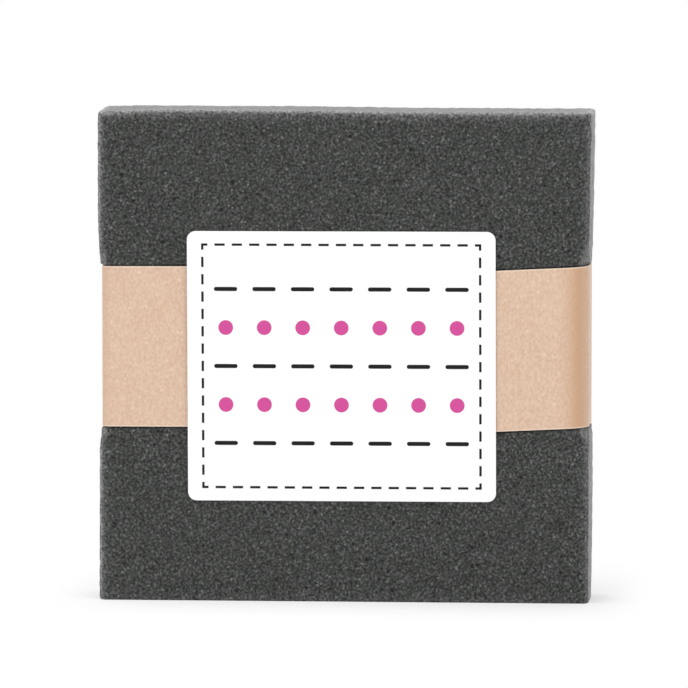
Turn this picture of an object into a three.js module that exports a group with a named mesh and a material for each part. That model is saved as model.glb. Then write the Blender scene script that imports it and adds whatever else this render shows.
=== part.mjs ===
// Needle felting mat: a square block of charcoal foam that stands on its edge, in a band of kraft paper.
// The band's two ends lap on the front of the pad, a little askew, and a white paper label closes them.
// Millimetres, +Z up. The front faces -Y, and the origin is the middle of the face that the pad stands on.
import * as THREE from 'three';

// Foam pad, 6 by 6 by 1 inches
const padWidth = 152.4;
const padHeight = 152.4;
const padThickness = 25.4;
const cutEdgeRadius = 0.7; // crumbly rounding of the knife-cut edges

// Waist, where the tight band squeezes the foam
const sidePinch = 1; // how far the left and right sides give way
const backCornerRadius = 4.5; // the paper rounds off the pad's upright edges
const frontLeftCornerRadius = 2.5;
const frontRightCornerRadius = 6.5; // most of all where its outer end pulls round to the front
const lipLength = 0.4; // beside the band's edge the foam springs up flush with the paper
const recoveryLength = 10; // from there on, until the foam is full again

// Kraft paper band, 5 cm wide
const bandHeight = 50;
const bandThickness = 0.3;
const bandMidX = 0.35;
const bandMidZ = 79.5;
const bandTiltDegrees = 0.28; // the loop rises to the right
const lapLength = 40; // how far the two ends lap on the front
const lapSkewDegrees = 2.45; // the outer end slopes down from the right side, off the loop

// Paper label
const labelWidth = 96;
const labelHeight = 84;
const labelThickness = 0.2;
const labelCornerRadius = 2.7;
const labelMidX = -0.4;
const labelMidZ = 73.5;
const labelTiltDegrees = 0.2;

// Air between neighbouring faces
const paperGap = 0.3;

// Steps of the round stretches
const cornerSteps = 6;
const edgeSteps = 3;
const recoverySteps = 6;

const { degToRad, lerp } = THREE.MathUtils;

// The faces give way until the two lapped layers of paper lie flush with the pad's front
const layerPitch = bandThickness + paperGap;
const facePinch = 2 * layerPitch;

// Rectangles in plan with round corners: the full block of foam, and its waist
const block = {
  halfX: padWidth / 2,
  halfY: padThickness / 2,
  back: 2 * cutEdgeRadius,
  frontLeft: 2 * cutEdgeRadius,
  frontRight: 2 * cutEdgeRadius,
};
const waistHalfY = block.halfY - facePinch;
const waist = {
  halfX: block.halfX - sidePinch,
  halfY: waistHalfY,
  back: Math.min(backCornerRadius, waistHalfY),
  frontLeft: Math.min(frontLeftCornerRadius, waistHalfY),
  frontRight: Math.min(frontRightCornerRadius, waistHalfY),
};
const lapHalf = lapLength / 2;

// A rectangle moved outward all round, corners included
function offsetRect(rect, outward) {
  return blendRect(rect, rect, 0, outward);
}

// A rectangle between two others, then moved outward
function blendRect(from, to, share, outward = 0) {
  const keys = Object.keys(from);
  return Object.fromEntries(keys.map((key) => [key, lerp(from[key], to[key], share) + outward]));
}

// How far the loop of the band has risen at x, from its middle
function bandRise(x) {
  return Math.tan(degToRad(bandTiltDegrees)) * x;
}

// How far the outer end of the band has dropped off the loop at x, on its way from the right side
function lapDrop(x) {
  return Math.tan(degToRad(lapSkewDegrees)) * Math.max(waist.halfX - x, 0);
}

// One round corner of a rectangle, as points with their outward normals. The outer end starts to drop at the
// front right one.
function cornerArc(rect, signX, signY, fromDegrees, toDegrees) {
  const frontRadius = signX < 0 ? rect.frontLeft : rect.frontRight;
  const radius = signY < 0 ? frontRadius : rect.back;
  const drops = signX > 0 && signY < 0;
  const points = [];
  for (let step = 0; step <= cornerSteps; step++) {
    const angle = degToRad(lerp(fromDegrees, toDegrees, step / cornerSteps));
    const normalX = Math.cos(angle);
    const normalY = Math.sin(angle);
    const x = signX * (rect.halfX - radius) + radius * normalX;
    const y = signY * (rect.halfY - radius) + radius * normalY;
    points.push({ x, y, normalX, normalY, drop: drops ? lapDrop(x) : 0 });
  }
  return points;
}

// Closed solid through a row of rings, each an anticlockwise list of [x, y, z] seen from the next ring
function loft(rings) {
  const count = rings[0].length;
  const last = (rings.length - 1) * count;
  const index = [];
  for (let base = 0; base < last; base += count) {
    for (let i = 0; i < count; i++) {
      const a = base + i;
      const b = base + ((i + 1) % count);
      index.push(a, b, b + count, a, b + count, a + count);
    }
  }
  for (let i = 1; i + 1 < count; i++) {
    index.push(0, i + 1, i, last, last + i, last + i + 1);
  }
  const geometry = new THREE.BufferGeometry();
  geometry.setAttribute('position', new THREE.Float32BufferAttribute(rings.flat(2), 3));
  geometry.setIndex(index);
  geometry.computeVertexNormals();
  return geometry;
}

// Heights from one end of the pad to its waist: the rounded cut edge, the drawing in and the step at the paper
function levelsToWaist(endZ, waistZ) {
  const inward = Math.sign(waistZ - endZ);
  const levels = [];
  for (let step = 0; step <= edgeSteps; step++) {
    const angle = (step / edgeSteps) * (Math.PI / 2);
    const rise = cutEdgeRadius * (1 - Math.cos(angle));
    const inset = cutEdgeRadius * (1 - Math.sin(angle));
    levels.push({ z: endZ + inward * rise, inset, pinch: 0, sunk: 0, followsBand: 0 });
  }
  for (let step = 0; step <= recoverySteps; step++) {
    const share = step / recoverySteps;
    const z = waistZ - inward * (lipLength + recoveryLength * (1 - share));
    levels.push({ z, inset: 0, pinch: share * share, sunk: 0, followsBand: 1 });
  }
  levels.push({ z: waistZ, inset: 0, pinch: 1, sunk: layerPitch, followsBand: 1 });
  return levels;
}

// Outline of the foam at one level. Its front has a point wherever the band's edge changes slope.
function padRing(level, frontDrops) {
  const paperFace = offsetRect(waist, layerPitch);
  const rect = blendRect(block, paperFace, level.pinch, -level.inset - level.sunk);
  const outline = [
    ...cornerArc(rect, -1, -1, 180, 270),
    ...frontDrops.map(({ x, drop }) => ({ x, y: -rect.halfY, drop })),
    ...cornerArc(rect, 1, -1, 270, 360),
    ...cornerArc(rect, 1, 1, 0, 90),
    ...cornerArc(rect, -1, 1, 90, 180),
  ];
  return outline.map(({ x, y, drop }) => {
    const z = level.z + level.followsBand * (bandRise(x) - drop);
    return [x + level.pinch * bandMidX, y, z];
  });
}

// The block of foam, with its waist
function foamPadGeometry() {
  const waistHalf = bandHeight / 2 + paperGap;
  const lapEase = lapHalf + bandThickness + paperGap;
  const lowerDrops = [
    { x: -lapEase, drop: 0 },
    { x: -lapHalf, drop: lapDrop(-lapHalf) },
    { x: lapHalf, drop: lapDrop(lapHalf) },
    { x: lapEase, drop: lapDrop(lapEase) },
  ];
  const upperDrops = [
    { x: -lapEase, drop: 0 },
    { x: -lapHalf, drop: 0 },
    { x: lapHalf, drop: 0 },
    { x: lapEase, drop: lapDrop(lapEase) },
  ];
  const lower = levelsToWaist(0, bandMidZ - waistHalf).map((level) => padRing(level, lowerDrops));
  const upper = levelsToWaist(padHeight, bandMidZ + waistHalf).map((level) => padRing(level, upperDrops));
  return loft([...lower, ...upper.reverse()]);
}

// The strip of paper, from its inner end on the front, round the left side, the back and the right side,
// to its outer end, which lies over the inner one
function kraftBandGeometry() {
  const inside = offsetRect(waist, paperGap);
  const innerY = -inside.halfY;
  const outerY = innerY - layerPitch;
  const rampEndX = lapHalf + layerPitch;
  const path = [
    { x: lapHalf, y: innerY, normalX: 0, normalY: -1, drop: 0 },
    ...cornerArc(inside, -1, -1, 270, 180),
    ...cornerArc(inside, -1, 1, 180, 90),
    ...cornerArc(inside, 1, 1, 90, 0),
    ...cornerArc(inside, 1, -1, 360, 270),
    { x: rampEndX, y: outerY, normalX: 0, normalY: -1, drop: lapDrop(rampEndX) },
    { x: -lapHalf, y: outerY, normalX: 0, normalY: -1, drop: lapDrop(-lapHalf) },
  ];
  const sections = path.map(({ x, y, normalX, normalY, drop }) => {
    const innerX = bandMidX + x;
    const outerX = innerX + bandThickness * normalX;
    const outerFaceY = y + bandThickness * normalY;
    const low = bandMidZ + bandRise(x) - drop - bandHeight / 2;
    const high = low + bandHeight;
    return [[innerX, y, low], [outerX, outerFaceY, low], [outerX, outerFaceY, high], [innerX, y, high]];
  });
  return loft(sections);
}

// The label as a flat sheet, lying in XY about its own middle
function labelGeometry() {
  const x = labelWidth / 2 - labelCornerRadius;
  const y = labelHeight / 2 - labelCornerRadius;
  const outline = new THREE.Shape();
  outline.absarc(x, y, labelCornerRadius, 0, Math.PI / 2);
  outline.absarc(-x, y, labelCornerRadius, Math.PI / 2, Math.PI);
  outline.absarc(-x, -y, labelCornerRadius, Math.PI, 1.5 * Math.PI);
  outline.absarc(x, -y, labelCornerRadius, 1.5 * Math.PI, 2 * Math.PI);
  return new THREE.ExtrudeGeometry(outline, {
    depth: labelThickness,
    bevelEnabled: false,
    curveSegments: cornerSteps,
  });
}

function addPiece(parent, name, geometry, color, roughness) {
  const material = new THREE.MeshStandardMaterial({ color, roughness, metalness: 0 });
  const mesh = new THREE.Mesh(geometry, material);
  mesh.name = name;
  parent.add(mesh);
  return mesh;
}

const mat = new THREE.Group();
addPiece(mat, 'foam_pad', foamPadGeometry(), 0x484948, 1);
addPiece(mat, 'kraft_band', kraftBandGeometry(), 0xe2c1ac, 0.85);

// The label stands on the front, its back one gap in front of the foam and of the lapped band
const label = addPiece(mat, 'front_label', labelGeometry(), 0xfafafa, 0.6);
label.position.set(labelMidX, -padThickness / 2 - paperGap, labelMidZ);
label.rotation.set(Math.PI / 2, 0, degToRad(labelTiltDegrees));

export default mat;
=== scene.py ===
import math

import bpy
import numpy as np
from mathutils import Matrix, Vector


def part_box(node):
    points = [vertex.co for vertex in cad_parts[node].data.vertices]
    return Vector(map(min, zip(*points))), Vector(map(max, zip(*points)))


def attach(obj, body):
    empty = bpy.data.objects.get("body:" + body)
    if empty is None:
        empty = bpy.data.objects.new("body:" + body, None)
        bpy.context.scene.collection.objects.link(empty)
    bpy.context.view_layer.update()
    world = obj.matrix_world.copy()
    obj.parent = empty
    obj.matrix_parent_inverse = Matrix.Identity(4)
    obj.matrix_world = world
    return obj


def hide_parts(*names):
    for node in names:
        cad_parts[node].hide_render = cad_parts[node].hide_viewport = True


# Needle felting mat: a block of charcoal foam on its edge, in a band of kraft paper that a label closes.
# The front faces -Y, and the pad stands on the table at z = 0.
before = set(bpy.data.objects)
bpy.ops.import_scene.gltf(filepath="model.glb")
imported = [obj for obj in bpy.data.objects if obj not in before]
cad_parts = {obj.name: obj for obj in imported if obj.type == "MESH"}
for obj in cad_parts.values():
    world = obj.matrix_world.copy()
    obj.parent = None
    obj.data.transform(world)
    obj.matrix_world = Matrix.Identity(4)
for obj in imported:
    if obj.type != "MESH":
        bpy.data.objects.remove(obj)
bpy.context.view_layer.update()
mm = 0.001
padLow, padHigh = (np.array(corner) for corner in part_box("foam_pad"))
padSize = padHigh - padLow  # width along X, thickness along Y, height along Z
patternTurn = (0.6, 0.4, 0.5)  # radians, so that no layer of a pattern lies along a face
print("frame loaded:", ", ".join(sorted(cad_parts)))


def hexToLinear(text):  # sRGB hex such as #484948 to linear RGBA
    channels = np.array([int(text[at:at + 2], 16) for at in (1, 3, 5)]) / 255
    linear = np.where(channels <= 0.04045, channels / 12.92, ((channels + 0.055) / 1.055) ** 2.4)
    return (*linear.tolist(), 1.0)


def addNode(tree, kind, inputs=None, stops=(), **settings):  # a node with its settings, values and links
    node = tree.nodes.new(kind)
    for name, value in settings.items():
        setattr(node, name, value)
    for at, (position, color) in enumerate(stops):  # a colour ramp's stops, from low to high
        elements = node.color_ramp.elements
        element = elements[at] if at < 2 else elements.new(position)
        element.position = position
        element.color = hexToLinear(color)
    for name, value in (inputs or {}).items():
        if isinstance(value, bpy.types.NodeSocket):
            tree.links.new(value, node.inputs[name])
        else:
            node.inputs[name].default_value = value
    return node


def newMaterial(name):  # an empty node tree and its output
    material = bpy.data.materials.new(name)
    material.use_nodes = True
    material.node_tree.nodes.clear()
    return material, material.node_tree, addNode(material.node_tree, "ShaderNodeOutputMaterial")


# A mesh that rides on its body and stands for its CAD node, smooth up to an angle in degrees
def addPiece(name, points, quads, material, body, node, sharpAngle):
    mesh = bpy.data.meshes.new(name)
    mesh.from_pydata(points.tolist(), [], quads.tolist())
    mesh.polygons.foreach_set("use_smooth", np.ones(len(quads), dtype=bool))
    mesh.set_sharp_from_angle(angle=math.radians(sharpAngle))
    mesh.materials.append(material)
    piece = bpy.data.objects.new(name, mesh)
    bpy.context.scene.collection.objects.link(piece)
    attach(piece, body)
    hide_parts(node)
    print(name, "has", len(points), "points and", len(quads), "faces")
    return piece


def smoothStep(share):  # 0 below 0, 1 above 1, an S between
    share = np.clip(share, 0, 1)
    return share * share * (3 - 2 * share)


# Random values from 0 to 1 on a cubic lattice, blended smoothly between its corners
def valueNoise(points, cell, seed):
    scaled = points / cell
    base = np.floor(scaled).astype(np.int64)
    blend = smoothStep(scaled - base)
    total = np.zeros(len(points))
    for corner in np.ndindex(2, 2, 2):
        key = (base + np.array(corner)) * [73856093, 19349663, 83492791]  # large primes scramble the bits
        mixed = key[:, 0] ^ key[:, 1] ^ key[:, 2] ^ (seed * 2654435)
        mixed = ((mixed ^ (mixed >> 13)) * 1274126177) & 0x7FFFFFFF
        value = ((mixed ^ (mixed >> 15)) & 0xFFFF) / 0xFFFF
        total += value * np.prod(np.where(corner, blend, 1 - blend), axis=1)
    return total


# Camera, at the photograph's angle: a little above the pad and to its right, far off with a long lens
view = dict(
    target=(0.4 * mm, padLow[1], 80.5 * mm),
    distance=2500 * mm,
    yaw=5.05,  # degrees to the pad's right
    pitch=5.10,  # degrees above level
    focalPixels=8062,  # fitted on the 688 pixel frame
    framePixels=688,
    sensor=36.0,
    clipEnd=50.0,
)


def addCamera():  # turned about its target by yaw and pitch
    data = bpy.data.cameras.new("camera")
    data.sensor_width = view["sensor"]
    data.lens = view["focalPixels"] * view["sensor"] / view["framePixels"]
    data.clip_end = view["clipEnd"]
    camera = bpy.data.objects.new("camera", data)
    yaw = math.radians(view["yaw"])
    pitch = math.radians(view["pitch"])
    away = np.array([math.sin(yaw) * math.cos(pitch), -math.cos(yaw) * math.cos(pitch), math.sin(pitch)])
    camera.location = np.array(view["target"]) + view["distance"] * away
    camera.rotation_euler = (math.pi / 2 - pitch, 0, yaw)
    bpy.context.scene.collection.objects.link(camera)
    bpy.context.scene.camera = camera


addCamera()
print("camera placed")


# Where the band lies, which the foam's waist follows
band = dict(
    height=50 * mm,
    thickness=0.3 * mm,
    gap=0.3 * mm,  # air between paper and foam, and between the lapped ends
    midX=0.35 * mm,
    midHeight=79.5 * mm,
    tilt=math.tan(math.radians(0.28)),  # the loop rises to the right
    skew=math.tan(math.radians(2.45)),  # the outer end slopes down from the right side, off the loop
    lapHalf=20 * mm,  # the ends lap this far to each side of the middle
    sidePinch=1.0 * mm,  # how far the foam gives way at the left and right
    facePinch=1.2 * mm,  # and at the front and back
    # it is bent round the upright edges at these radii: front left, back left, back right, front right
    radii=np.array([2.5, 4.5, 4.5, 6.5]) * mm,
)
waistX = padSize[0] / 2 - band["sidePinch"]
waistY = padSize[1] / 2 - band["facePinch"]
paperPitch = band["thickness"] + band["gap"]


def lapDrop(x):  # how far the outer end has sunk off the loop at x from its middle, a straight slope
    return band["skew"] * np.maximum(waistX - x, 0)


# Foam pad
foam = dict(
    topRadius=1.0 * mm,  # of the knife-cut edges
    footRadius=np.array([0.7, 0.2]) * mm,  # sharper at the right than at the left
    # upright edges, in the order of the band's: how far their oval rounding reaches across the large faces
    # and along the sides, first clear of the band and then beside it
    freeWidths=np.array([2.0, 1.3, 1.3, 1.6]) * mm,
    freeDepths=np.array([3.0, 1.3, 1.3, 3.0]) * mm,
    besideWidths=np.array([3.0, 5.1, 5.1, 6.5]) * mm,
    besideDepths=np.array([4.5, 5.1, 5.1, 11.0]) * mm,
    leastRounding=0.1 * mm,
    # how far the block spreads past its nominal sides: at the foot, below the band, above it and at the top
    leftSpread=np.array([0.0, 0.2, 0.3, 0.35]) * mm,
    rightSpread=np.array([0.0, 0.0, 0.0, 0.6]) * mm,
    topRise=np.array([0.5, 0.2]) * mm,  # the top is cut higher at the left than at the right
    topStep=np.array([-16, 24]) * mm,  # and comes down between these two places
    droop=np.array([0.75, 0.25]) * mm,  # but its left corner is worn down, most at the front
    droopReach=11 * mm,
    footTwist=math.radians(1.1),  # the foot is twisted to the left, about the middle of the front
    twistHeight=31 * mm,  # from the label down
    bulge=0.35 * mm,  # the right side swells between its edges
    paintedHighlightReach=0.95 * mm,  # painted highlight on the cut edges, reaching this far in
    uprightHighlight=(1.0, 0.35),  # painted highlight: on the left upright edges as much as on the top ones, on the right ones less
    # painted light from the floor, paler towards the foot
    footPaintedLight=0.12,
    footPaintedLightReach=1.5 * mm,
    stretchHighlight=np.array([0.5, 0.0, 0.0, 0.55]),  # painted highlight on the front upright edges also where the paper's edge bends them
    stretchFrom=np.array([0.1, 0.0, 0.0, 0.5]),  # starting at this angle round the edge, in radians
    stretchRise=0.25,  # full this far on
    stretchEnd=1.5,  # and gone by here, where the side begins
    stretchFall=0.4,
    clear=0.25 * mm,  # from the band's edge to the foam that springs up beside it
    lip=0.5 * mm,  # over this length on the large faces, at once on the sides
    spring=0.35,  # by this share of the pinch
    recovery=(8 * mm, 12 * mm),  # and is full again this far on, below and above the band
    pinchFall=1.2,  # how fast the pinch dies away there
    roundingFall=1.5,  # and the rounding of the upright edges
    lapEase=5 * mm,  # beside the lap's ends the waist steps from one end of the band to the other
    lapDepth=2 * mm,  # and this deep inside, from the lapped front to the plain back
    fineStep=0.3 * mm,
    fineReach=1.8 * mm,  # close lines along every edge
    step=0.86 * mm,
    unevenCell=26 * mm,
    uneven=0.3 * mm,  # slow waves of the saw cut
    unevenSeed=201,
    crumbCell=1.6 * mm,
    crumb=0.28 * mm,  # torn cells
    crumbSeed=8,
    footFlat=4 * mm,  # both fade over this height, so that the foot stays flat on the table
)


# Points from stop to stop, each stretch in whole steps of about the given length
def latticeLine(stops, steps):
    parts = [
        np.linspace(a, b, max(1, round((b - a) / step)), endpoint=False)
        for a, b, step in zip(stops[:-1], stops[1:], steps)
    ]
    return np.append(np.concatenate(parts), stops[-1])


# Quads on the six sides of a box of lattice lines, and each point's place in the lattice
def boxLattice(countX, countY, countZ):
    inner = np.zeros((countX, countY, countZ), dtype=bool)
    inner[1:-1, 1:-1, 1:-1] = True
    place = np.argwhere(~inner)
    number = np.full(inner.shape, -1)
    number[tuple(place.T)] = np.arange(len(place))
    quads = []
    for sheet, outward in (
        (number[:, 0, :], True), (number[:, -1, :], False),
        (number[0, :, :], False), (number[-1, :, :], True),
        (number[:, :, 0], False), (number[:, :, -1], True),
    ):
        ring = [sheet[:-1, :-1], sheet[1:, :-1], sheet[1:, 1:], sheet[:-1, 1:]]
        quads.append(np.stack(ring if outward else ring[::-1], axis=-1).reshape(-1, 4))
    return place, np.concatenate(quads)


# The pad is a box of lattice lines. Its outline is a rectangle with oval corners that shrinks under the
# band, its top and bottom edges are quarter rounds, its sides spread, its foot is twisted, and noise
# roughens it.
def makeFoamPad(material):
    halfX, halfY, height = padSize[0] / 2, padSize[1] / 2, padSize[2]
    low = band["midHeight"] - band["height"] / 2 - foam["clear"]
    high = band["midHeight"] + band["height"] / 2 + foam["clear"]
    fine, step, reach = foam["fineStep"], foam["step"], foam["fineReach"]
    lip, (recoverLow, recoverHigh) = foam["lip"], foam["recovery"]
    lineX = latticeLine([-halfX, -halfX + reach, halfX - reach, halfX], [fine, step, fine])
    lineY = latticeLine([-halfY, -halfY + reach, halfY - reach, halfY], [fine, step, fine])
    fullLow, fullHigh = low - recoverLow, high + recoverHigh
    lineZ = latticeLine(
        [0, reach, fullLow, low - lip, low, high, high + lip, fullHigh, height - reach, height],
        [fine, step, 2 * fine, fine / 2, 1.6 * step, fine / 2, 2 * fine, step, fine],
    )
    place, quads = boxLattice(len(lineX), len(lineY), len(lineZ))
    x, y, z = lineX[place[:, 0]], lineY[place[:, 1]], lineZ[place[:, 2]]
    toSide, toFace, toTop = halfX - np.abs(x), halfY - np.abs(y), height - z

    # beside the paper the foam springs up past it, then swells out more slowly to its full size
    beyond = np.maximum(np.maximum(low - z, z - high), 0)
    sprung = smoothStep(beyond / lip)
    swollen = np.clip((beyond - lip) / np.where(z < height / 2, recoverLow, recoverHigh), 0, 1)
    pinch = (1 - foam["spring"] * sprung) * (1 - swollen) ** foam["pinchFall"]
    sunkX, sunkY = paperPitch * (beyond == 0), paperPitch * (1 - sprung)

    # the painted highlight fades with the distance from the top edges, and from the upright edges clear of
    # the band
    topHighlight = np.exp(-np.maximum(toTop, np.minimum(toSide, toFace)) / foam["paintedHighlightReach"])
    uprightHighlight = (1 - pinch) * np.exp(-np.maximum(toSide, toFace) / foam["paintedHighlightReach"])
    uprightHighlight *= np.where(x < 0, *foam["uprightHighlight"])
    # painted light from the floor, fading up from the foot
    footPaintedLight = foam["footPaintedLight"] * np.exp(-z / foam["footPaintedLightReach"])

    # quarter rounds at the top and bottom
    footRadius = np.interp(x, [-halfX, halfX], foam["footRadius"])
    edge = np.where(z < height / 2, footRadius, foam["topRadius"])
    rise = np.clip(1 - np.minimum(z, height - z) / edge, 0, 1)
    inset = edge * (1 - np.sqrt(1 - rise ** 2))
    fullX = halfX + pinch * (waistX + paperPitch - halfX) - inset - sunkX
    fullY = halfY + pinch * (waistY + paperPitch - halfY) - inset - sunkY
    x, y = x * fullX / halfX, y * fullY / halfY

    # rectangular rings about each corner's centre become elliptical ones
    upright = np.where(x < 0, np.where(y < 0, 0, 1), np.where(y < 0, 3, 2))
    rounded = (1 - swollen) ** foam["roundingFall"]
    width = foam["freeWidths"] + rounded[:, None] * (foam["besideWidths"] - foam["freeWidths"])
    depth = foam["freeDepths"] + rounded[:, None] * (foam["besideDepths"] - foam["freeDepths"])
    every = np.arange(len(x))
    width = np.maximum(width[every, upright] - inset - sunkY, foam["leastRounding"])
    depth = np.maximum(depth[every, upright] - inset - sunkY, foam["leastRounding"])
    cornerX = np.clip(x, width - fullX, fullX - width)
    cornerY = np.clip(y, depth - fullY, fullY - depth)
    awayX, awayY = (x - cornerX) / width, (y - cornerY) / depth
    length = np.maximum(np.hypot(awayX, awayY), 1e-9)
    shrink = np.maximum(np.abs(awayX), np.abs(awayY)) / length
    x, y = cornerX + (x - cornerX) * shrink, cornerY + (y - cornerY) * shrink
    # painted highlight on the front upright edges where the band bends them round
    turned = np.arctan2(np.abs(awayX), np.abs(awayY)) * (np.minimum(toSide, toFace) == 0)
    stretched = smoothStep((turned - foam["stretchFrom"][upright]) / foam["stretchRise"])
    stretched *= smoothStep((foam["stretchEnd"] - turned) / foam["stretchFall"])
    stretchHighlight = foam["stretchHighlight"][upright] * rounded * stretched
    paintedHighlight = np.max([topHighlight, uprightHighlight, footPaintedLight, stretchHighlight], axis=0)

    # the waist follows the loop, and on the front the two lapped ends
    lap = band["lapHalf"]
    lapEnd = lap + foam["lapEase"]
    lowerDrop = np.where(x > -lap, lapDrop(x), np.interp(x, [-lapEnd, -lap], [0, lapDrop(-lap)]))
    upperDrop = np.where(x > lapEnd, lapDrop(x), np.interp(x, [lap, lapEnd], [0, lapDrop(lapEnd)]))
    below = z < (low + high) / 2
    follow = np.clip(np.where(below, z / fullLow, (height - z) / (height - fullHigh)), 0, 1)
    onFront = smoothStep(0.5 - y / foam["lapDepth"])
    lifted = z + follow * (band["tilt"] * x - onFront * np.where(below, lowerDrop, upperDrop))

    # the top rises above the nominal block, in a straight ramp from where the foam is full
    ramp = np.clip((z - fullHigh) / (height - fullHigh), 0, 1)
    (riseLeft, riseRight), (stepLeft, stepRight) = foam["topRise"], foam["topStep"]
    higher = riseLeft + (riseRight - riseLeft) * smoothStep((x - stepLeft) / (stepRight - stepLeft))
    worn = np.interp(y, [-halfY, halfY], foam["droop"])
    higher -= worn * np.exp(-((halfX + x) / foam["droopReach"]) ** 2)

    # the sides spread, the right one also swells, and the foot is twisted
    leftSpread, rightSpread = (
        np.interp(z, [0, low, high, height], foam[side]) for side in ("leftSpread", "rightSpread"))
    spread = np.where(x < 0, leftSpread, rightSpread) * sprung / halfX
    rightward = np.clip(x / halfX, 0, 1)
    swell = foam["bulge"] * rightward * (1 - pinch) * np.maximum(1 - (y / halfY) ** 2, 0)
    twist = np.sin(foam["footTwist"]) * np.clip(1 - z / foam["twistHeight"], 0, 1)
    x = x * (1 + spread) + pinch * band["midX"] + swell
    x, y = x - (y + halfY) * twist, y + x * twist
    z = lifted + ramp * higher

    points = np.stack([x, y, z + padLow[2]], axis=1)
    piece = addPiece(
        "foam_block", points, quads, material, "pad", "foam_pad", sharpAngle=180)
    normals = np.empty(len(points) * 3)
    piece.data.vertices.foreach_get("normal", normals)
    normals = normals.reshape(-1, 3)
    uneven = foam["uneven"] * (valueNoise(points, foam["unevenCell"], foam["unevenSeed"]) - 0.5)
    crumb = foam["crumb"] * (valueNoise(points, foam["crumbCell"], foam["crumbSeed"]) - 0.5)
    facing = np.abs(normals[:, 1])  # the two large faces only sink, so that the label lies clear of them
    moved = uneven + crumb - facing * (foam["uneven"] + foam["crumb"]) / 2
    standing = smoothStep(z / foam["footFlat"])
    roughened = points + normals * (moved * standing)[:, None]
    piece.data.vertices.foreach_set("co", roughened.ravel())
    piece.data.update()
    # the painted highlight, read by the foam's colour
    piece.data.attributes.new("paintedHighlight", "FLOAT", "POINT").data.foreach_set("value", paintedHighlight)
    return piece


# Cells of the foam
cells = dict(
    poreSpacing=0.8 * mm,
    poreShare=-0.25,  # what the pores take off the grain of the struts
    strutGrain=0.72 * mm,
    toneCell=16 * mm,  # slow changes of tone
    toneShare=0.06,
    jitterCell=1.6 * mm,  # pores lie out of line in patches of this size
    jitter=1.2 * mm,  # by up to this much
    tones=((0.18, "#262726"), (0.50, "#404240"), (0.62, "#4a4b4a"), (0.82, "#626462")),  # pores to struts
    speckSpacing=1.8 * mm,
    speckColor="#717371",  # struts that catch the light
    holeSpacing=4.6 * mm,
    holeColor="#202120",  # burst cells
    # colour of the painted highlight on the cut edges
    paintedHighlightColor="#b2b3b2",
)


# Open-cell polyurethane foam, dyed charcoal and cut with a blade: dark pores between paler struts, no gloss,
# and a painted highlight along the cut edges and at the foot
def charcoalFoam():
    material, tree, output = newMaterial("charcoal polyurethane foam")
    place = addNode(tree, "ShaderNodeTexCoord").outputs["Object"]
    place = addNode(tree, "ShaderNodeMapping", {"Vector": place, "Rotation": patternTurn}).outputs[0]
    jitter = addNode(tree, "ShaderNodeTexNoise", {
        "Vector": place, "Scale": 1 / cells["jitterCell"], "Detail": 1.0})
    moved = addNode(tree, "ShaderNodeVectorMath", {
        0: jitter.outputs["Color"], 1: (cells["jitter"],) * 3, 2: place},
        operation="MULTIPLY_ADD").outputs[0]

    # struts stand up and are pale, pores sink and are dark
    pores = addNode(tree, "ShaderNodeTexVoronoi", {
        "Vector": moved, "Scale": 1 / cells["poreSpacing"]}, feature="DISTANCE_TO_EDGE")
    grain = addNode(tree, "ShaderNodeTexNoise", {
        "Vector": place, "Scale": 1 / cells["strutGrain"], "Detail": 0.0})
    tone = addNode(tree, "ShaderNodeTexNoise", {
        "Vector": place, "Scale": 1 / cells["toneCell"], "Detail": 2.0})
    height = addNode(tree, "ShaderNodeMath", {
        0: pores.outputs["Distance"], 1: cells["poreShare"], 2: grain.outputs["Fac"]},
        operation="MULTIPLY_ADD").outputs[0]
    shade = addNode(tree, "ShaderNodeMath", {
        0: tone.outputs["Fac"], 1: cells["toneShare"], 2: height}, operation="MULTIPLY_ADD").outputs[0]
    body = addNode(tree, "ShaderNodeValToRGB", {"Fac": shade}, stops=cells["tones"]).outputs["Color"]

    # specks on half of the cells of their own pattern, and holes on all of theirs
    specks = addNode(tree, "ShaderNodeTexVoronoi", {"Vector": moved, "Scale": 1 / cells["speckSpacing"]})
    speckRound = addNode(tree, "ShaderNodeMapRange", {
        "Value": specks.outputs["Distance"], "From Min": 0.23, "From Max": 0.12}).outputs[0]
    speckPick = addNode(tree, "ShaderNodeMath", {
        0: specks.outputs["Color"], 1: 0.5}, operation="GREATER_THAN").outputs[0]
    speckShare = addNode(tree, "ShaderNodeMath", {
        0: speckRound, 1: speckPick}, operation="MULTIPLY").outputs[0]
    lit = addNode(tree, "ShaderNodeMix", {
        0: speckShare, 6: body, 7: hexToLinear(cells["speckColor"])}, data_type="RGBA").outputs[2]
    holes = addNode(tree, "ShaderNodeTexVoronoi", {"Vector": moved, "Scale": 1 / cells["holeSpacing"]})
    holeShare = addNode(tree, "ShaderNodeMapRange", {
        "Value": holes.outputs["Distance"], "From Min": 0.16, "From Max": 0.07}).outputs[0]
    pitted = addNode(tree, "ShaderNodeMix", {
        0: holeShare, 6: lit, 7: hexToLinear(cells["holeColor"])}, data_type="RGBA").outputs[2]
    # painted highlight along the cut edges and at the foot, broken up by the strut grain
    paintedHighlight = addNode(tree, "ShaderNodeAttribute", attribute_name="paintedHighlight")
    paintedHighlightShare = addNode(tree, "ShaderNodeMath", {
        0: paintedHighlight.outputs["Fac"], 1: grain.outputs["Fac"]}, operation="MULTIPLY").outputs[0]
    color = addNode(tree, "ShaderNodeMix", {
        0: paintedHighlightShare, 6: pitted, 7: hexToLinear(cells["paintedHighlightColor"])}, data_type="RGBA").outputs[2]
    bump = addNode(tree, "ShaderNodeBump", {"Height": height, "Strength": 0.8, "Distance": 0.3 * mm})
    shader = addNode(tree, "ShaderNodeBsdfPrincipled", {
        "Base Color": color, "Normal": bump.outputs["Normal"], "Roughness": 0.95,
        "Specular IOR Level": 0.15, "Sheen Weight": 0.82, "Sheen Roughness": 0.3})
    tree.links.new(shader.outputs[0], output.inputs["Surface"])
    return material


makeFoamPad(charcoalFoam())
print("foam pad made")


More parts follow.
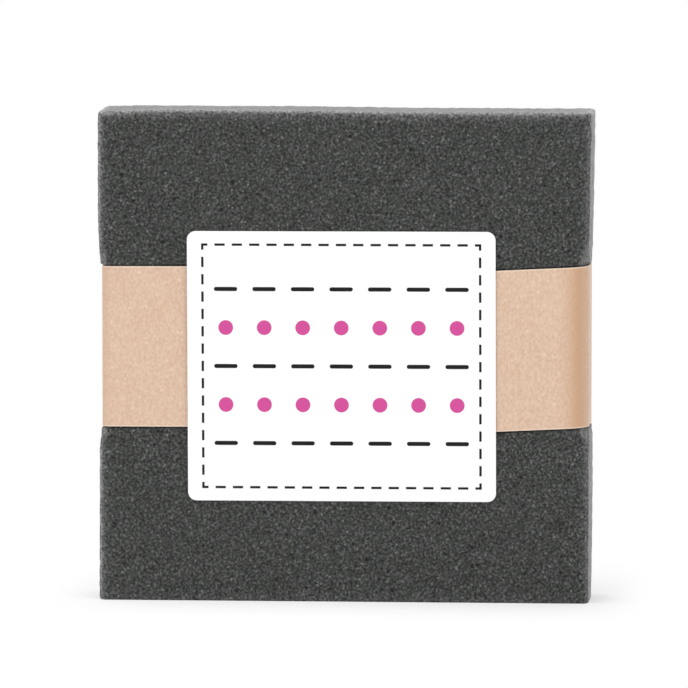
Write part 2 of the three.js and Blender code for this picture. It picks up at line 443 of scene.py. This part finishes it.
# Closed sheet of paper: two grids of points, its outer and its inner face, joined along the rim
def paperSheet(outer, inner):
    rows, columns = outer.shape[:2]
    points = np.concatenate([outer.reshape(-1, 3), inner.reshape(-1, 3)])
    front = np.arange(rows * columns).reshape(rows, columns)
    back = front + rows * columns
    faces = [
        np.stack([front[:-1, :-1], front[1:, :-1], front[1:, 1:], front[:-1, 1:]], -1).reshape(-1, 4),
        np.stack([back[:-1, :-1], back[:-1, 1:], back[1:, 1:], back[1:, :-1]], -1).reshape(-1, 4),
    ]
    rims = ((front[0], back[0]), (front[-1, ::-1], back[-1, ::-1]),
            (front[::-1, 0], back[::-1, 0]), (front[:, -1], back[:, -1]))
    for outerRim, innerRim in rims:
        faces.append(np.stack([outerRim[:-1], outerRim[1:], innerRim[1:], innerRim[:-1]], -1))
    return points, np.concatenate(faces)


# Kraft paper band
strip = dict(
    stepAlong=1.6 * mm,
    stepUp=3.2 * mm,
    cornerSteps=18,
    cutEdge=0.45 * mm,  # a paler line along the cut edges
    paintedBendShadeReach=3.5 * mm,  # painted shade on the paper, spreading this far about each upright edge
    # in the order of the band's edges: how dark the painted shade is, and how far round the edge its middle
    # lies
    paintedBendShades=((0.1, 0.5), (0.5, 0.5), (0.5, 0.5), (0.82, 0.62)),
)


# The band is an upright strip carried along a path in plan: from its inner end on the front, round the left
# side, the back and the right side, to its outer end, which climbs over the inner one
def makeKraftBand(material):
    gap, thickness = band["gap"], band["thickness"]
    insideX, insideY = waistX + gap, waistY + gap
    quarter = np.linspace(0, math.pi / 2, strip["cornerSteps"] + 1)

    def straight(a, b):  # evenly spaced points after a, before b
        count = max(2, round(math.dist(a, b) / strip["stepAlong"]))
        return np.linspace(a, b, count, endpoint=False)[1:]

    def corner(signX, signY, start, radius):  # a quarter turn clockwise, seen from above
        angle = start - quarter
        return np.stack([signX * (insideX - radius) + radius * np.cos(angle),
                         signY * (insideY - radius) + radius * np.sin(angle)], axis=1)

    signs = ((-1, -1), (-1, 1), (1, 1), (1, -1))
    turns = [
        corner(signX, signY, math.pi * (1.5 - 0.5 * at), radius + gap)
        for at, ((signX, signY), radius) in enumerate(zip(signs, band["radii"]))
    ]
    innerEnd = np.array([[band["lapHalf"], -insideY]])
    climbed = np.array([[band["lapHalf"] + paperPitch, -insideY - paperPitch]])
    outerEnd = np.array([[-band["lapHalf"], -insideY - paperPitch]])
    stations = [innerEnd, *turns, climbed, outerEnd]
    path = [innerEnd]
    for before, after in zip(stations[:-1], stations[1:]):
        path += [straight(before[-1], after[0]), after]
    path = np.concatenate(path)
    along = np.gradient(path, axis=0)
    along /= np.linalg.norm(along, axis=1)[:, None]
    outward = np.stack([-along[:, 1], along[:, 0]], axis=1)

    travelled = np.append(0, np.cumsum(np.linalg.norm(np.diff(path, axis=0), axis=1)))
    lastTurn = np.argmin(np.linalg.norm(path - turns[3][0], axis=1))
    onOuterEnd = travelled >= travelled[lastTurn]
    lift = band["tilt"] * path[:, 0] - np.where(onOuterEnd, lapDrop(path[:, 0]), 0)
    half, edge = band["height"] / 2, strip["cutEdge"]
    up = latticeLine([-half, edge - half, half - edge, half], [edge, strip["stepUp"], edge])
    up = up[::-1]  # from the top down, so that the faces point outward

    def face(offset):  # the path pushed outward, at every height
        plan = path + outward * offset + [band["midX"], 0]
        height = band["midHeight"] + up[None, :] + lift[:, None]
        flat = np.broadcast_to(plan[:, None, :], (*height.shape, 2))
        return np.concatenate([flat, height[..., None]], axis=-1)

    shadedBend = np.zeros(len(path))
    for (strength, share), turn in zip(strip["paintedBendShades"], turns):  # a bell of painted shade about one point of each turn
        at = np.argmin(np.linalg.norm(path - turn[round(share * strip["cornerSteps"])], axis=1))
        shadedBend += strength * np.exp(-((travelled - travelled[at]) / strip["paintedBendShadeReach"]) ** 2)
    points, quads = paperSheet(face(thickness), face(0.0))
    piece = addPiece(
        "kraft_strip", points, quads, material, "wrap", "kraft_band", sharpAngle=40)
    # painted shade where the paper bends round the upright edges
    paintedBendShade = piece.data.attributes.new("paintedBendShade", "FLOAT", "POINT")
    paintedBendShade.data.foreach_set("value", np.tile(np.repeat(shadedBend, len(up)), 2))
    cutEdge = piece.data.attributes.new("cutEdge", "FLOAT", "POINT")
    cutEdge.data.foreach_set("value", np.tile(np.abs(up) > half - edge / 2, 2 * len(path)).astype(float))
    return piece


# Pulp of the kraft paper
pulp = dict(
    fibreWidth=0.7 * mm,  # real fibres are finer, these are as coarse as they need to show
    fibreDraw=(1, 1, 0.7),  # and are a little longer up the strip
    cloudCell=9 * mm,  # slow changes of tone
    cloudShare=0.15,
    tones=((0.3, "#ccaa90"), (0.85, "#e0c4af")),
    fleckSpacing=2.2 * mm,
    fleckTones=((0.4, "#c19b81"), (0.6, "#fff4e8")),  # some darker, some paler
    # colour of the painted shade at the bends
    paintedBendShadeColor="#c49a79",
    cutColor="#f0dcc8",
)


# Uncoated kraft paper: warm brown pulp with short fibres running up the strip, with painted shade where it
# bends round the upright edges
def kraftPaper():
    material, tree, output = newMaterial("kraft paper")
    place = addNode(tree, "ShaderNodeTexCoord").outputs["Object"]
    drawn = addNode(tree, "ShaderNodeMapping", {"Vector": place, "Scale": pulp["fibreDraw"]}).outputs[0]
    fibres = addNode(tree, "ShaderNodeTexNoise", {
        "Vector": drawn, "Scale": 1 / pulp["fibreWidth"], "Detail": 3.0}).outputs["Fac"]
    cloud = addNode(tree, "ShaderNodeTexNoise", {
        "Vector": place, "Scale": 1 / pulp["cloudCell"], "Detail": 2.0}).outputs["Fac"]
    tone = addNode(tree, "ShaderNodeMath", {
        0: cloud, 1: pulp["cloudShare"], 2: fibres}, operation="MULTIPLY_ADD").outputs[0]
    plain = addNode(tree, "ShaderNodeValToRGB", {"Fac": tone}, stops=pulp["tones"]).outputs["Color"]
    turned = addNode(tree, "ShaderNodeMapping", {"Vector": place, "Rotation": patternTurn}).outputs[0]
    flecks = addNode(tree, "ShaderNodeTexVoronoi", {"Vector": turned, "Scale": 1 / pulp["fleckSpacing"]})
    fleckShare = addNode(tree, "ShaderNodeMapRange", {
        "Value": flecks.outputs["Distance"], "From Min": 0.3, "From Max": 0.15, "To Max": 0.17}).outputs[0]
    fleckTone = addNode(tree, "ShaderNodeValToRGB", {
        "Fac": flecks.outputs["Color"]}, stops=pulp["fleckTones"]).outputs["Color"]
    flecked = addNode(tree, "ShaderNodeMix", {
        0: fleckShare, 6: plain, 7: fleckTone}, data_type="RGBA").outputs[2]
    # painted shade where the band bends round the upright edges
    paintedBendShade = addNode(tree, "ShaderNodeAttribute", attribute_name="paintedBendShade").outputs["Fac"]
    shadedBend = addNode(tree, "ShaderNodeMix", {
        0: paintedBendShade, 6: flecked, 7: hexToLinear(pulp["paintedBendShadeColor"])}, data_type="RGBA").outputs[2]
    cutEdge = addNode(tree, "ShaderNodeAttribute", attribute_name="cutEdge").outputs["Fac"]
    color = addNode(tree, "ShaderNodeMix", {
        0: cutEdge, 6: shadedBend, 7: hexToLinear(pulp["cutColor"])}, data_type="RGBA").outputs[2]
    bump = addNode(tree, "ShaderNodeBump", {"Height": fibres, "Strength": 0.25, "Distance": 0.05 * mm})
    shader = addNode(tree, "ShaderNodeBsdfPrincipled", {
        "Base Color": color, "Normal": bump.outputs["Normal"], "Roughness": 0.8,
        "Specular IOR Level": 0.4, "Sheen Weight": 0.25, "Sheen Roughness": 0.3})
    tree.links.new(shader.outputs[0], output.inputs["Surface"])
    return material


makeKraftBand(kraftPaper())
print("kraft band made")


# Paper label
label = dict(
    width=96 * mm,
    height=84 * mm,
    cornerRadius=2.7 * mm,
    thickness=0.16 * mm,
    standOff=0.12 * mm,  # off the foam's face
    midX=-0.4 * mm,
    midZ=73.5 * mm,
    tilt=math.radians(0.2),
    step=2.0 * mm,
    cornerSteps=6,
    tooth=0.7 * mm,  # the paper's own grain
)


# The label is a flat grid whose corners are rounded by turning square rings into round ones
def makeLabel(material):
    halfU, halfV, radius = label["width"] / 2, label["height"] / 2, label["cornerRadius"]
    fine, step = radius / label["cornerSteps"], label["step"]
    lineU = latticeLine([-halfU, -halfU + radius, halfU - radius, halfU], [fine, step, fine])
    lineV = latticeLine([-halfV, -halfV + radius, halfV - radius, halfV], [fine, step, fine])
    u, v = np.meshgrid(lineU, lineV, indexing="ij")
    cornerU = np.clip(u, radius - halfU, halfU - radius)
    cornerV = np.clip(v, radius - halfV, halfV - radius)
    length = np.maximum(np.hypot(u - cornerU, v - cornerV), 1e-9)
    ring = np.maximum(np.abs(u - cornerU), np.abs(v - cornerV))
    u, v = cornerU + (u - cornerU) * ring / length, cornerV + (v - cornerV) * ring / length
    turnU = u * math.cos(label["tilt"]) - v * math.sin(label["tilt"]) + label["midX"]
    turnV = u * math.sin(label["tilt"]) + v * math.cos(label["tilt"]) + label["midZ"]
    backY = padLow[1] - label["standOff"]

    def face(y):
        return np.stack([turnU, np.full_like(turnU, y), turnV], axis=-1)

    points, quads = paperSheet(face(backY - label["thickness"]), face(backY))
    return addPiece(
        "paper_label", points, quads, material, "wrap", "front_label", sharpAngle=40)


# The print, from the label's middle: a border of running stitch, and inside it rows of black stitches
# between rows of pink dots
printing = dict(
    stitchPitch=5.4 * mm,
    stitchHalf=1.6 * mm,
    stitchWidth=0.75 * mm,
    borderStitches=np.array([8, 0, 7]),  # from the middle to the border, across and up
    rowPitch=24 * mm,  # from one row of black stitches to the next
    rows=(40 * mm, 0, 30 * mm),  # they end this far across and up
    columnPitch=12 * mm,
    longHalf=3.0 * mm,
    longWidth=1.3 * mm,
    dotRadius=2.3 * mm,
    paperColor="#f8f8f8",
    inkColor="#151515",
    dotColor="#cf4f97",
)


def labelPrint(tree):  # the colour at each point of the label
    paper, ink, dotColor = (hexToLinear(printing[name]) for name in ("paperColor", "inkColor", "dotColor"))
    place = addNode(tree, "ShaderNodeTexCoord").outputs["Object"]
    centred = addNode(tree, "ShaderNodeMapping", {
        "Vector": place, "Location": (label["midX"], 0, label["midZ"]),
        "Rotation": (0, -label["tilt"], 0)}, vector_type="TEXTURE").outputs[0]
    away = addNode(tree, "ShaderNodeVectorMath", {0: centred}, operation="ABSOLUTE").outputs[0]

    # the border: a thin line where the larger of the two overshoots is nought, cut into stitches
    borderHalf = printing["borderStitches"] * printing["stitchPitch"]
    past = addNode(tree, "ShaderNodeVectorMath", {0: away, 1: borderHalf}, operation="SUBTRACT").outputs[0]
    past = addNode(tree, "ShaderNodeSeparateXYZ", {0: past}).outputs
    over = addNode(tree, "ShaderNodeMath", {0: past["X"], 1: past["Z"]}, operation="MAXIMUM").outputs[0]
    onLine = addNode(tree, "ShaderNodeMath", {
        0: over, 1: 0.0, 2: printing["stitchWidth"] / 2}, operation="COMPARE").outputs[0]
    half = printing["stitchPitch"] / 2
    nearest = addNode(tree, "ShaderNodeVectorMath", {
        0: centred, 1: (half, 0, half), 2: (-half, 0, -half)}, operation="WRAP").outputs[0]
    nearest = addNode(tree, "ShaderNodeSeparateXYZ", {0: nearest}).outputs
    onSide = addNode(tree, "ShaderNodeMath", {
        0: past["X"], 1: past["Z"]}, operation="GREATER_THAN").outputs[0]
    along = addNode(tree, "ShaderNodeMix", {0: onSide, 2: nearest["X"], 3: nearest["Z"]}).outputs[0]
    onStitch = addNode(tree, "ShaderNodeMath", {
        0: along, 1: 0.0, 2: printing["stitchHalf"]}, operation="COMPARE").outputs[0]
    border = addNode(tree, "ShaderNodeMath", {0: onLine, 1: onStitch}, operation="MULTIPLY").outputs[0]

    # the rows: long stitches at the middle of every cell of a grid, dots between the rows
    halfX, halfZ = printing["columnPitch"] / 2, printing["rowPitch"] / 2
    cell = addNode(tree, "ShaderNodeVectorMath", {
        0: centred, 1: (halfX, 0, halfZ), 2: (-halfX, 0, -halfZ)}, operation="WRAP").outputs[0]
    cell = addNode(tree, "ShaderNodeVectorMath", {0: cell}, operation="ABSOLUTE").outputs[0]
    end = addNode(tree, "ShaderNodeVectorMath", {
        0: cell, 1: (printing["longHalf"], 0, 0)}, operation="MINIMUM").outputs[0]
    fromLong = addNode(tree, "ShaderNodeVectorMath", {
        0: cell, 1: end}, operation="DISTANCE").outputs["Value"]
    fromDot = addNode(tree, "ShaderNodeVectorMath", {
        0: cell, 1: (0, 0, halfZ)}, operation="DISTANCE").outputs["Value"]
    longStitch = addNode(tree, "ShaderNodeMath", {
        0: fromLong, 1: printing["longWidth"] / 2}, operation="LESS_THAN").outputs[0]
    dot = addNode(tree, "ShaderNodeMath", {
        0: fromDot, 1: printing["dotRadius"]}, operation="LESS_THAN").outputs[0]
    outside = addNode(tree, "ShaderNodeVectorMath", {
        0: away, 1: printing["rows"]}, operation="SUBTRACT").outputs[0]
    outside = addNode(tree, "ShaderNodeSeparateXYZ", {0: outside}).outputs
    outside = addNode(tree, "ShaderNodeMath", {
        0: outside["X"], 1: outside["Z"]}, operation="MAXIMUM").outputs[0]
    inside = addNode(tree, "ShaderNodeMath", {0: outside, 1: 0.0}, operation="LESS_THAN").outputs[0]
    dotted = addNode(tree, "ShaderNodeMath", {0: dot, 1: inside}, operation="MULTIPLY").outputs[0]
    black = addNode(tree, "ShaderNodeMath", {
        0: longStitch, 1: inside, 2: border}, operation="MULTIPLY_ADD").outputs[0]
    pink = addNode(tree, "ShaderNodeMix", {0: dotted, 6: paper, 7: dotColor}, data_type="RGBA").outputs[2]
    printed = addNode(tree, "ShaderNodeMix", {0: black, 6: pink, 7: ink}, data_type="RGBA").outputs[2]

    # the back of the label is bare
    middleY = padLow[1] - label["standOff"] - label["thickness"] / 2
    depth = addNode(tree, "ShaderNodeSeparateXYZ", {0: place}).outputs["Y"]
    onFace = addNode(tree, "ShaderNodeMath", {0: depth, 1: middleY}, operation="LESS_THAN").outputs[0]
    return addNode(tree, "ShaderNodeMix", {0: onFace, 6: paper, 7: printed}, data_type="RGBA").outputs[2]


# Coated white label paper: smooth, almost even, with a slight satin gloss
def labelPaper():
    material, tree, output = newMaterial("coated label paper")
    place = addNode(tree, "ShaderNodeTexCoord").outputs["Object"]
    tooth = addNode(tree, "ShaderNodeTexNoise", {
        "Vector": place, "Scale": 1 / label["tooth"], "Detail": 2.0})
    bump = addNode(tree, "ShaderNodeBump", {
        "Height": tooth.outputs["Fac"], "Strength": 0.1, "Distance": 0.02 * mm})
    shader = addNode(tree, "ShaderNodeBsdfPrincipled", {
        "Base Color": labelPrint(tree), "Normal": bump.outputs["Normal"], "Roughness": 0.5,
        "Specular IOR Level": 0.15})
    tree.links.new(shader.outputs[0], output.inputs["Surface"])
    return material


makeLabel(labelPaper())
print("label made")


# Studio: a white sweep, soft light from all round, a soft box overhead and one to each side of the camera
studio = dict(
    floorHalf=3.0,
    floorColor="#ededed",
    whitened=0.48,  # how far the camera sees the floor lifted to white, close to the pad
    fadeReach=(20 * mm, 110 * mm, 1.0),  # this far past its sides and faces the floor is plain white
    skyStrength=0.58,
    boxes=(  # name, place, size, power
        ("top box", (-0.2, -0.06, 1.4), 1.1, 13.0),
        ("left box", (-0.7, -2.1, 1.0), 1.0, 10.5),
        ("right box", (2.0, -1.4, 0.9), 1.0, 9.7),
    ),
)


def addSoftBox(name, place, aim, size, power):  # a square lamp that faces its aim
    data = bpy.data.lights.new(name, "AREA")
    data.shape = "SQUARE"
    data.size = size
    data.energy = power
    lamp = bpy.data.objects.new(name, data)
    lamp.location = place
    away = np.array(place) - np.array(aim)
    lamp.rotation_euler = (math.atan2(math.hypot(away[0], away[1]), away[2]), 0,
                           math.atan2(away[0], -away[1]))
    bpy.context.scene.collection.objects.link(lamp)


# Matte white paper that the camera sees whitened: a thin shadow close to the pad, and none far off
def whiteSweep():
    material, tree, output = newMaterial("white paper sweep")
    cameraRay = addNode(tree, "ShaderNodeLightPath").outputs["Is Camera Ray"]
    place = addNode(tree, "ShaderNodeTexCoord").outputs["Object"]
    past = addNode(tree, "ShaderNodeVectorMath", {0: place}, operation="ABSOLUTE").outputs[0]
    steps = (("SUBTRACT", padSize / 2), ("MAXIMUM", (0, 0, 0)), ("DIVIDE", studio["fadeReach"]))
    for operation, value in steps:
        past = addNode(tree, "ShaderNodeVectorMath", {0: past, 1: value}, operation=operation).outputs[0]
    reach = addNode(tree, "ShaderNodeVectorMath", {0: past}, operation="LENGTH").outputs["Value"]
    whitened = addNode(tree, "ShaderNodeMapRange", {
        "Value": reach, "To Min": studio["whitened"], "To Max": 1.0},
        interpolation_type="SMOOTHSTEP").outputs[0]
    share = addNode(tree, "ShaderNodeMath", {0: whitened, 1: cameraRay}, operation="MULTIPLY").outputs[0]
    floorColor = hexToLinear(studio["floorColor"])
    matte = addNode(tree, "ShaderNodeBsdfDiffuse", {"Color": floorColor}).outputs[0]
    white = addNode(tree, "ShaderNodeEmission", {"Strength": 1.0}).outputs[0]
    both = addNode(tree, "ShaderNodeMixShader", {0: share, 1: matte, 2: white}).outputs[0]
    tree.links.new(both, output.inputs["Surface"])
    return material


def makeStudio():  # the floor, a sky that looks white but lights less, and the soft boxes
    half = studio["floorHalf"]
    mesh = bpy.data.meshes.new("floor")
    corners = [(-half, -half, 0), (half, -half, 0), (half, half, 0), (-half, half, 0)]
    mesh.from_pydata(corners, [], [(0, 1, 2, 3)])
    mesh.materials.append(whiteSweep())
    floor = bpy.data.objects.new("floor", mesh)
    bpy.context.scene.collection.objects.link(floor)

    world = bpy.data.worlds.new("studio")
    world.use_nodes = True
    tree = world.node_tree
    tree.nodes.clear()
    output = addNode(tree, "ShaderNodeOutputWorld")
    rays = addNode(tree, "ShaderNodeLightPath").outputs
    seen = rays["Is Camera Ray"]
    for kind in ("Is Glossy Ray", "Is Transmission Ray"):
        seen = addNode(tree, "ShaderNodeMath", {0: seen, 1: rays[kind]}, operation="MAXIMUM").outputs[0]
    strength = addNode(tree, "ShaderNodeMapRange", {
        "Value": seen, "To Min": studio["skyStrength"], "To Max": 1.0}).outputs[0]
    background = addNode(tree, "ShaderNodeBackground", {"Color": (1, 1, 1, 1), "Strength": strength})
    tree.links.new(background.outputs[0], output.inputs["Surface"])
    bpy.context.scene.world = world

    for name, place, size, power in studio["boxes"]:
        addSoftBox(name, place, (0, 0, padSize[2] / 2), size, power)


makeStudio()
bpy.context.scene.view_settings.view_transform = "Standard"
print("studio lit")
